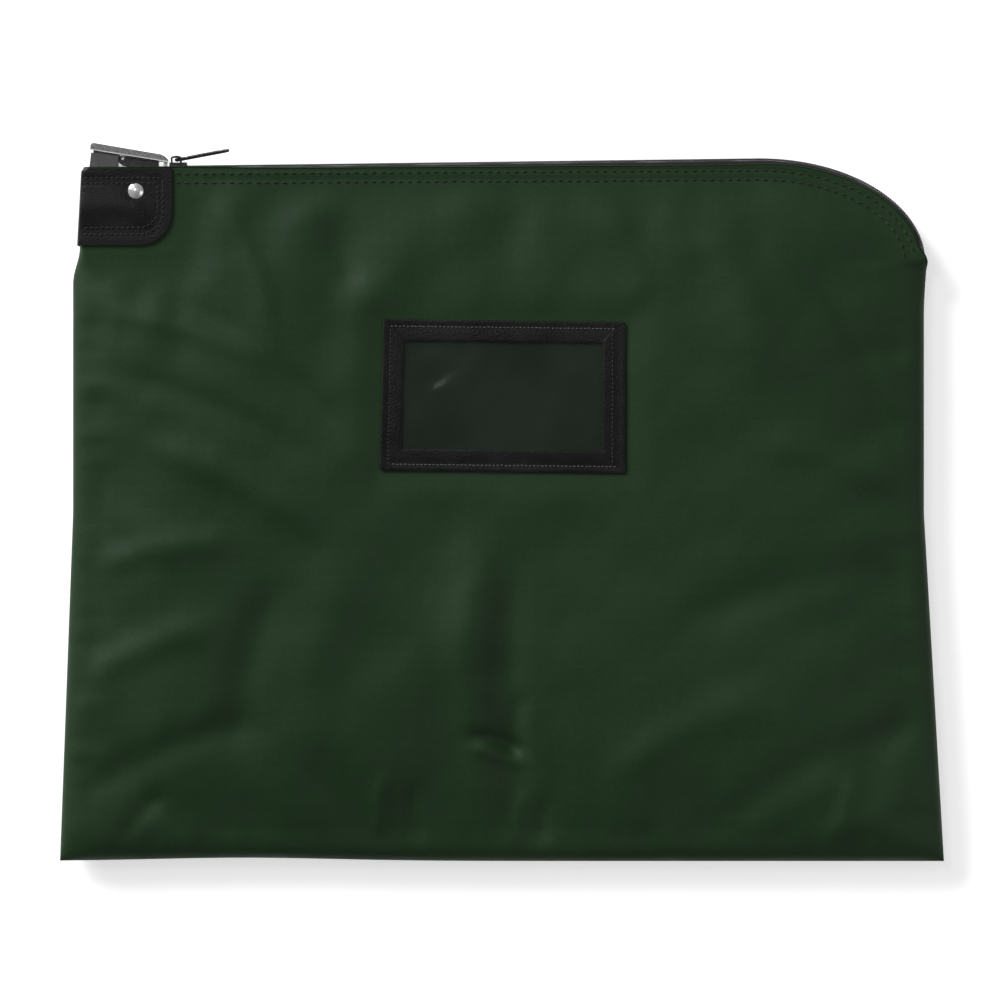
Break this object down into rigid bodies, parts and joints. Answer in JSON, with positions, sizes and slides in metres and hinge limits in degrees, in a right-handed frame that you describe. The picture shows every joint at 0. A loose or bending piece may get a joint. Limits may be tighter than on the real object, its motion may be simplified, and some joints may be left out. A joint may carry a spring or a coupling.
{
  "type": "cash deposit bag",
  "caption": "Locking zipper cash deposit bag of laminated cloth with a curved zipper corner, a clear card window and a pop-up key lock in a vinyl patch.",
  "frame": {"origin": "middle of the flat bag's outline, on the plane it lies on", "axes": "+X towards the right edge, +Y towards the zipper, +Z out of the front face"},
  "size_m": [0.508, 0.4123, 0.0233],
  "materials": {
    "cloth": "laminated nylon, dull with a soft sheen",
    "binding": "woven tape",
    "zipper_tape": "herringbone woven tape",
    "zipper_coil": "satin nylon coil",
    "black_metal": "black enamel",
    "vinyl": "grained black vinyl",
    "nickel": "bright nickel plate",
    "clear_pane": "clear flexible vinyl",
    "cast_zinc": "sand-cast grey with polished edges",
    "steel": "plated steel",
    "brass": "turned brass"
  },
  "bodies": {
    "bag": {"front_panel": "cloth", "back_panel": "cloth", "left_seam_binding": "binding", "right_seam_binding": "binding", "bottom_seam_binding": "binding", "front_zipper_tape": "zipper_tape", "back_zipper_tape": "zipper_tape", "front_tape_hem": "zipper_tape", "back_tape_hem": "zipper_tape", "front_zipper_coil": "zipper_coil", "back_zipper_coil": "zipper_coil", "zipper_end_stop": "black_metal", "lock_patch": "vinyl", "rivet_cap": "nickel", "rivet_post": "nickel", "window_frame": "vinyl", "window_pane": "clear_pane", "lock_housing": "cast_zinc", "lock_cover_plate": "cast_zinc", "popup_spring": "steel"},
    "slider": {"slider_body": "black_metal"},
    "pull_tab": {"slider_pull_tab": "black_metal"},
    "hood": {"lock_plunger": "cast_zinc", "lock_hood": "cast_zinc", "latch_plate": "steel", "hood_pin": "steel", "driver_pins": "brass", "tumbler_springs": "steel", "tumbler_cover_strip": "steel"},
    "plug": {"key_plug": "brass", "key_pins": "brass"},
    "bolt": {"lock_bolt": "steel"}
  },
  "joints": [
    {"name": "slider_travel", "type": "slide", "parent": "bag", "child": "slider", "axis": [0.9999, 0.0128, 0], "range_m": [0, 0.32]},
    {"name": "pull_tab_swing", "type": "hinge", "parent": "slider", "child": "pull_tab", "pos_m": [-0.18716, 0.19982, 0.011], "axis": [0, 0, 1], "range_deg": [-7, 135]},
    {"name": "lock_hood_press", "type": "slide", "parent": "bag", "child": "hood", "axis": [0.1132, 0.9936, 0], "range_m": [-0.0075, 0], "stiffness_N_per_m": 300, "springref_m": 0.005, "deforming": ["popup_spring"]},
    {"name": "key_plug_turn", "type": "hinge", "parent": "hood", "child": "plug", "pos_m": [-0.22956, 0.19894, 0.011], "axis": [0.1132, 0.9936, 0], "range_deg": [0, 90]},
    {"name": "bolt_throw", "type": "slide", "parent": "hood", "child": "bolt", "axis": [0.9936, -0.1132, 0], "range_m": [0, 0.0022]}
  ],
  "couplings": [
    {"joint": "bolt_throw", "follows": "key_plug_turn", "m_per_rad": 0.0014006}
  ]
}
